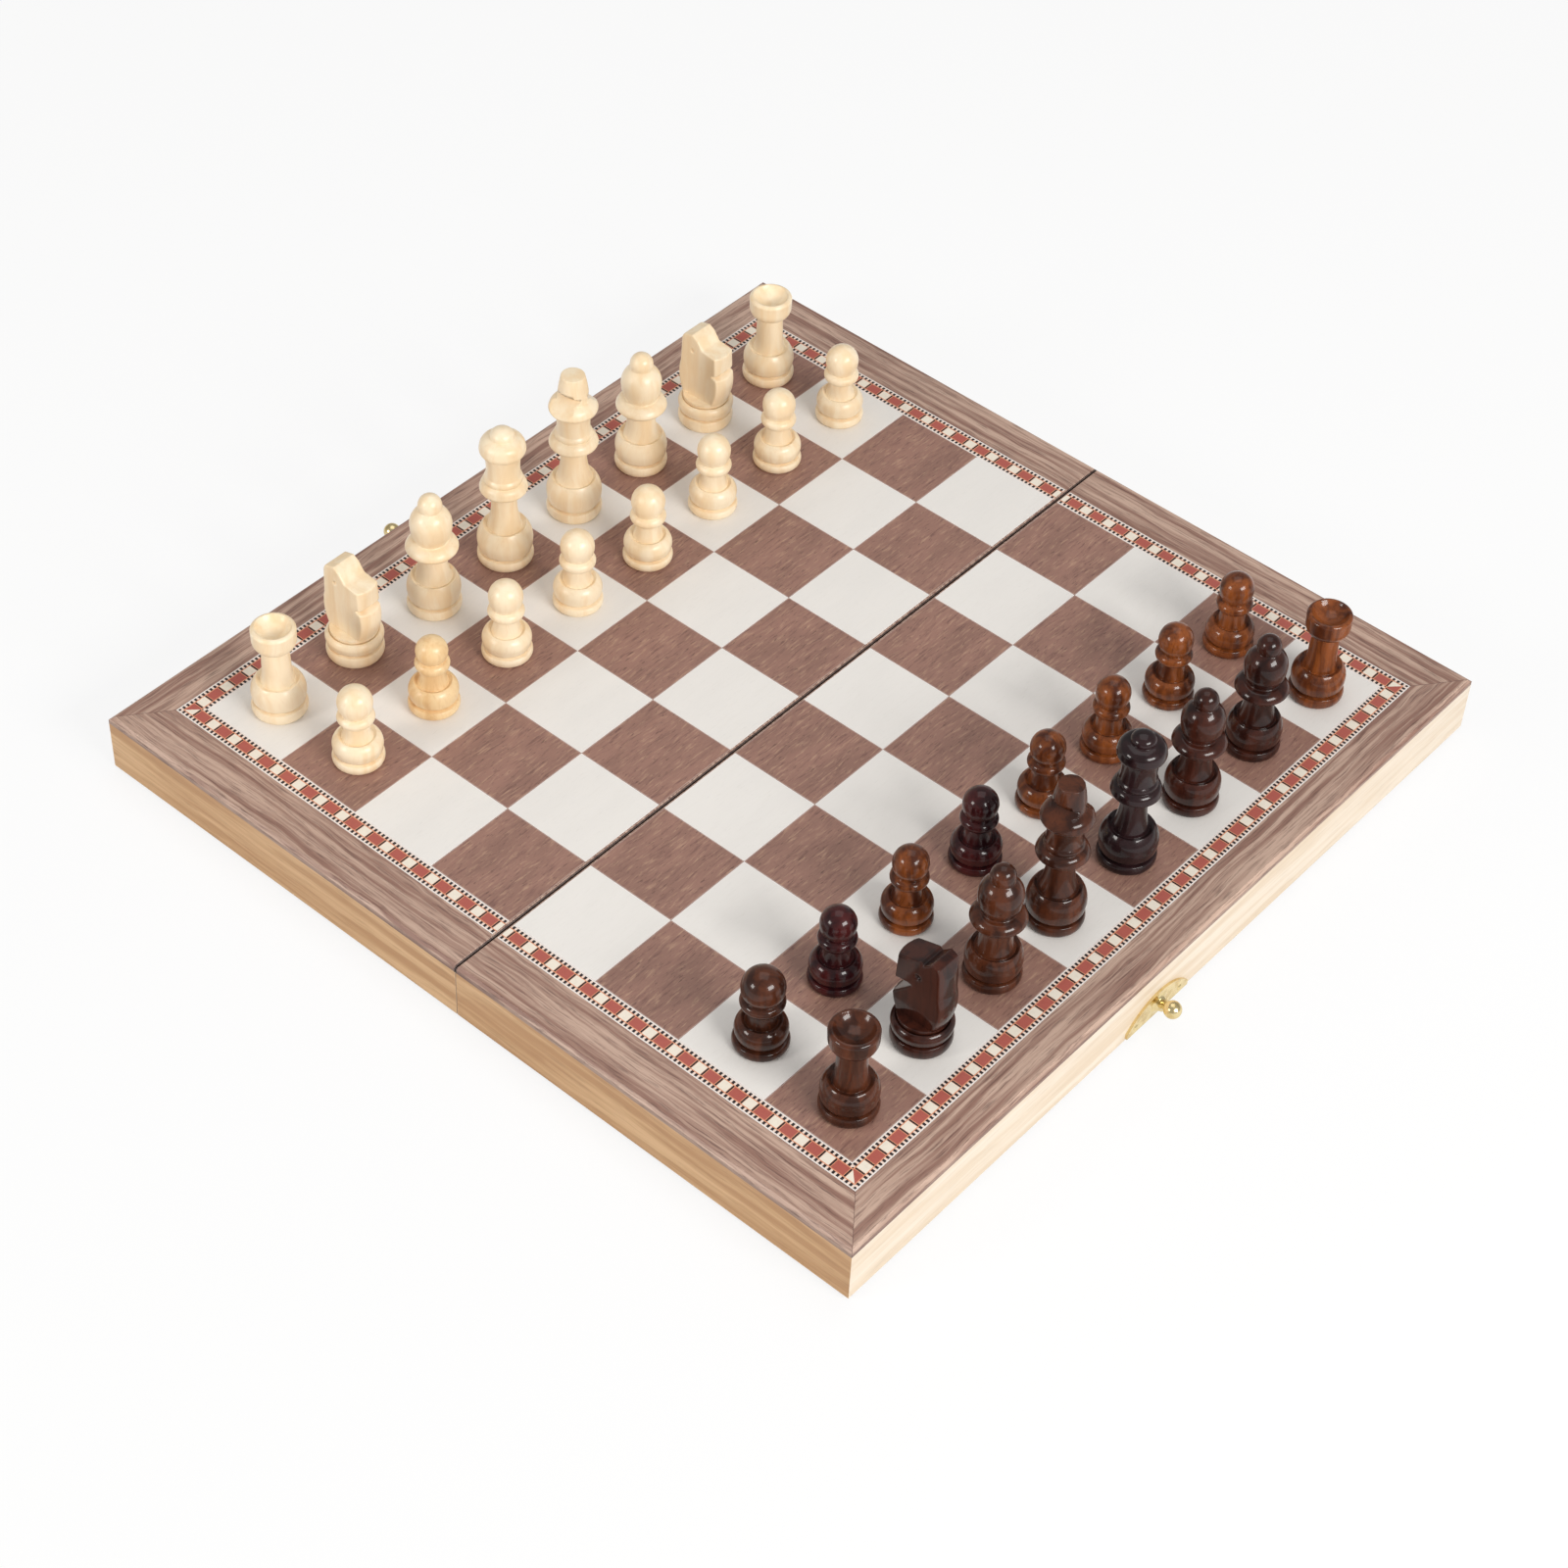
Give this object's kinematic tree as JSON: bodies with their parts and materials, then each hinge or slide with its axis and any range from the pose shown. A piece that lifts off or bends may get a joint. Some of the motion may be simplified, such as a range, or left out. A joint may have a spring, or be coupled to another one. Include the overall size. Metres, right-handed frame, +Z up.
{
  "type": "folding chess set",
  "caption": "Folding wooden chess set: a hinged inlaid board that shuts into a shallow box with brass clasps, open flat with turned chess pieces standing on it.",
  "frame": {"origin": "On the fold between the two halves, midway along it, level with the lowest point of the hinge barrels that the open board rests on.", "axes": "X runs across the fold, from the white half to the black half; Y runs along the fold; Z is up."},
  "size_m": [0.308, 0.293, 0.0756],
  "materials": {
    "beech_rail": "satin",
    "walnut_panel": "satin",
    "cream_veneer": "satin",
    "red_veneer": "satin",
    "inlay_band": "satin",
    "brass": "polished",
    "steel": "satin",
    "boxwood": "satin",
    "dark_lacquer": "gloss"
  },
  "bodies": {
    "white_half": {"white_clasp_rail": "beech_rail", "white_hinge_rail": "beech_rail", "white_front_end_rail": "beech_rail", "white_back_end_rail": "beech_rail", "white_panel": "walnut_panel", "white_light_squares": "cream_veneer", "white_dark_squares": "red_veneer", "white_inlay_band": "inlay_band", "white_clasp_plate": "brass", "white_clasp_ball_stud": "brass", "white_clasp_nails": "brass", "white_leaves": "brass", "white_leaf_screws": "steel", "hinge_pins": "steel"},
    "black_half": {"black_clasp_rail": "beech_rail", "black_hinge_rail": "beech_rail", "black_front_end_rail": "beech_rail", "black_back_end_rail": "beech_rail", "black_panel": "walnut_panel", "black_light_squares": "cream_veneer", "black_dark_squares": "red_veneer", "black_inlay_band": "inlay_band", "black_clasp_plate": "brass", "black_clasp_ball_stud": "brass", "black_clasp_nails": "brass", "black_leaves": "brass", "black_leaf_screws": "steel"},
    "white_rook_1": {"white_rook_1": "boxwood"},
    "white_knight_1": {"white_knight_1": "boxwood"},
    "white_bishop_1": {"white_bishop_1": "boxwood"},
    "white_queen": {"white_queen": "boxwood"},
    "white_king": {"white_king": "boxwood"},
    "white_bishop_2": {"white_bishop_2": "boxwood"},
    "white_knight_2": {"white_knight_2": "boxwood"},
    "white_rook_2": {"white_rook_2": "boxwood"},
    "white_pawn_1": {"white_pawn_1": "boxwood"},
    "white_pawn_2": {"white_pawn_2": "boxwood"},
    "white_pawn_3": {"white_pawn_3": "boxwood"},
    "white_pawn_4": {"white_pawn_4": "boxwood"},
    "white_pawn_5": {"white_pawn_5": "boxwood"},
    "white_pawn_6": {"white_pawn_6": "boxwood"},
    "white_pawn_7": {"white_pawn_7": "boxwood"},
    "white_pawn_8": {"white_pawn_8": "boxwood"},
    "black_rook_1": {"black_rook_1": "dark_lacquer"},
    "black_knight_1": {"black_knight_1": "dark_lacquer"},
    "black_bishop_1": {"black_bishop_1": "dark_lacquer"},
    "black_king": {"black_king": "dark_lacquer"},
    "black_queen": {"black_queen": "dark_lacquer"},
    "black_bishop_2": {"black_bishop_2": "dark_lacquer"},
    "black_bishop_3": {"black_bishop_3": "dark_lacquer"},
    "black_rook_2": {"black_rook_2": "dark_lacquer"},
    "black_pawn_1": {"black_pawn_1": "dark_lacquer"},
    "black_pawn_2": {"black_pawn_2": "dark_lacquer"},
    "black_pawn_3": {"black_pawn_3": "dark_lacquer"},
    "black_pawn_4": {"black_pawn_4": "dark_lacquer"},
    "black_pawn_5": {"black_pawn_5": "dark_lacquer"},
    "black_pawn_6": {"black_pawn_6": "dark_lacquer"},
    "black_pawn_7": {"black_pawn_7": "dark_lacquer"},
    "black_pawn_8": {"black_pawn_8": "dark_lacquer"}
  },
  "joints": [
    {"name": "fold", "type": "hinge", "parent": "white_half", "child": "black_half", "pos_m": [0, 0, 0.0011], "axis": [0, 1, 0], "range_deg": [0, 180]},
    {"name": "white_rook_1_lift", "type": "slide", "parent": "white_half", "child": "white_rook_1", "axis": [0, 0, 1], "range_m": [0, 0.09]},
    {"name": "white_knight_1_lift", "type": "slide", "parent": "white_half", "child": "white_knight_1", "axis": [0, 0, 1], "range_m": [0, 0.09]},
    {"name": "white_bishop_1_lift", "type": "slide", "parent": "white_half", "child": "white_bishop_1", "axis": [0, 0, 1], "range_m": [0, 0.09]},
    {"name": "white_queen_lift", "type": "slide", "parent": "white_half", "child": "white_queen", "axis": [0, 0, 1], "range_m": [0, 0.09]},
    {"name": "white_king_lift", "type": "slide", "parent": "white_half", "child": "white_king", "axis": [0, 0, 1], "range_m": [0, 0.09]},
    {"name": "white_bishop_2_lift", "type": "slide", "parent": "white_half", "child": "white_bishop_2", "axis": [0, 0, 1], "range_m": [0, 0.09]},
    {"name": "white_knight_2_lift", "type": "slide", "parent": "white_half", "child": "white_knight_2", "axis": [0, 0, 1], "range_m": [0, 0.09]},
    {"name": "white_rook_2_lift", "type": "slide", "parent": "white_half", "child": "white_rook_2", "axis": [0, 0, 1], "range_m": [0, 0.09]},
    {"name": "white_pawn_1_lift", "type": "slide", "parent": "white_half", "child": "white_pawn_1", "axis": [0, 0, 1], "range_m": [0, 0.09]},
    {"name": "white_pawn_2_lift", "type": "slide", "parent": "white_half", "child": "white_pawn_2", "axis": [0, 0, 1], "range_m": [0, 0.09]},
    {"name": "white_pawn_3_lift", "type": "slide", "parent": "white_half", "child": "white_pawn_3", "axis": [0, 0, 1], "range_m": [0, 0.09]},
    {"name": "white_pawn_4_lift", "type": "slide", "parent": "white_half", "child": "white_pawn_4", "axis": [0, 0, 1], "range_m": [0, 0.09]},
    {"name": "white_pawn_5_lift", "type": "slide", "parent": "white_half", "child": "white_pawn_5", "axis": [0, 0, 1], "range_m": [0, 0.09]},
    {"name": "white_pawn_6_lift", "type": "slide", "parent": "white_half", "child": "white_pawn_6", "axis": [0, 0, 1], "range_m": [0, 0.09]},
    {"name": "white_pawn_7_lift", "type": "slide", "parent": "white_half", "child": "white_pawn_7", "axis": [0, 0, 1], "range_m": [0, 0.09]},
    {"name": "white_pawn_8_lift", "type": "slide", "parent": "white_half", "child": "white_pawn_8", "axis": [0, 0, 1], "range_m": [0, 0.09]},
    {"name": "black_rook_1_lift", "type": "slide", "parent": "black_half", "child": "black_rook_1", "axis": [0, 0, 1], "range_m": [0, 0.09]},
    {"name": "black_knight_1_lift", "type": "slide", "parent": "black_half", "child": "black_knight_1", "axis": [0, 0, 1], "range_m": [0, 0.09]},
    {"name": "black_bishop_1_lift", "type": "slide", "parent": "black_half", "child": "black_bishop_1", "axis": [0, 0, 1], "range_m": [0, 0.09]},
    {"name": "black_king_lift", "type": "slide", "parent": "black_half", "child": "black_king", "axis": [0, 0, 1], "range_m": [0, 0.09]},
    {"name": "black_queen_lift", "type": "slide", "parent": "black_half", "child": "black_queen", "axis": [0, 0, 1], "range_m": [0, 0.09]},
    {"name": "black_bishop_2_lift", "type": "slide", "parent": "black_half", "child": "black_bishop_2", "axis": [0, 0, 1], "range_m": [0, 0.09]},
    {"name": "black_bishop_3_lift", "type": "slide", "parent": "black_half", "child": "black_bishop_3", "axis": [0, 0, 1], "range_m": [0, 0.09]},
    {"name": "black_rook_2_lift", "type": "slide", "parent": "black_half", "child": "black_rook_2", "axis": [0, 0, 1], "range_m": [0, 0.09]},
    {"name": "black_pawn_1_lift", "type": "slide", "parent": "black_half", "child": "black_pawn_1", "axis": [0, 0, 1], "range_m": [0, 0.09]},
    {"name": "black_pawn_2_lift", "type": "slide", "parent": "black_half", "child": "black_pawn_2", "axis": [0, 0, 1], "range_m": [0, 0.09]},
    {"name": "black_pawn_3_lift", "type": "slide", "parent": "black_half", "child": "black_pawn_3", "axis": [0, 0, 1], "range_m": [0, 0.09]},
    {"name": "black_pawn_4_lift", "type": "slide", "parent": "black_half", "child": "black_pawn_4", "axis": [0, 0, 1], "range_m": [0, 0.09]},
    {"name": "black_pawn_5_lift", "type": "slide", "parent": "black_half", "child": "black_pawn_5", "axis": [0, 0, 1], "range_m": [0, 0.09]},
    {"name": "black_pawn_6_lift", "type": "slide", "parent": "black_half", "child": "black_pawn_6", "axis": [0, 0, 1], "range_m": [0, 0.09]},
    {"name": "black_pawn_7_lift", "type": "slide", "parent": "black_half", "child": "black_pawn_7", "axis": [0, 0, 1], "range_m": [0, 0.09]},
    {"name": "black_pawn_8_lift", "type": "slide", "parent": "black_half", "child": "black_pawn_8", "axis": [0, 0, 1], "range_m": [0, 0.09]}
  ]
}
